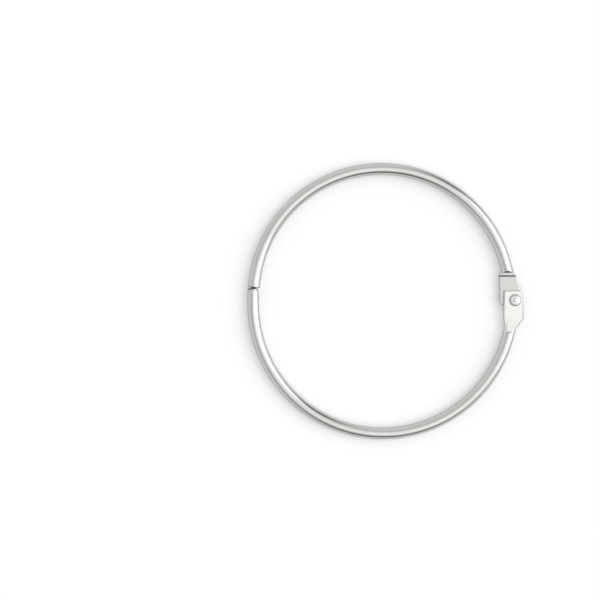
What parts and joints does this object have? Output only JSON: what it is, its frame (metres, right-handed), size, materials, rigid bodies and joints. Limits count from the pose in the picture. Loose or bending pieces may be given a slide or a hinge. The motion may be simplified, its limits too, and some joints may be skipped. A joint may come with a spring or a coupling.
{
  "type": "binder ring",
  "caption": "Plated loose-leaf ring of tube in two hinged half hoops, with a riveted tongue-and-fork hinge and a snap joint, for holding punched sheets, tags or swatches.",
  "frame": {"origin": "centre of the closed loop in plan, in the mid-plane of the tube", "axes": "+Z is square to the loop, up as the ring lies flat; +X runs from the loop's centre to the hinge; +Y runs to the middle of the tongue half"},
  "size_m": [0.0844, 0.0844, 0.0036],
  "materials": {
    "plated_hoop": "bright nickel plate on rolled steel, slightly satin",
    "plated_rivet": "bright nickel plate, domed head",
    "plated_pin": "bright nickel plate, turned"
  },
  "bodies": {
    "fork_side": {"fork_half": "plated_hoop", "hinge_rivet": "plated_rivet"},
    "tongue_side": {"tongue_half": "plated_hoop", "snap_pin": "plated_pin"}
  },
  "joints": [
    {"name": "ring_hinge", "type": "hinge", "parent": "fork_side", "child": "tongue_side", "pos_m": [0.04036, 0, 0], "axis": [0, 0, -1], "range_deg": [0, 110]}
  ]
}
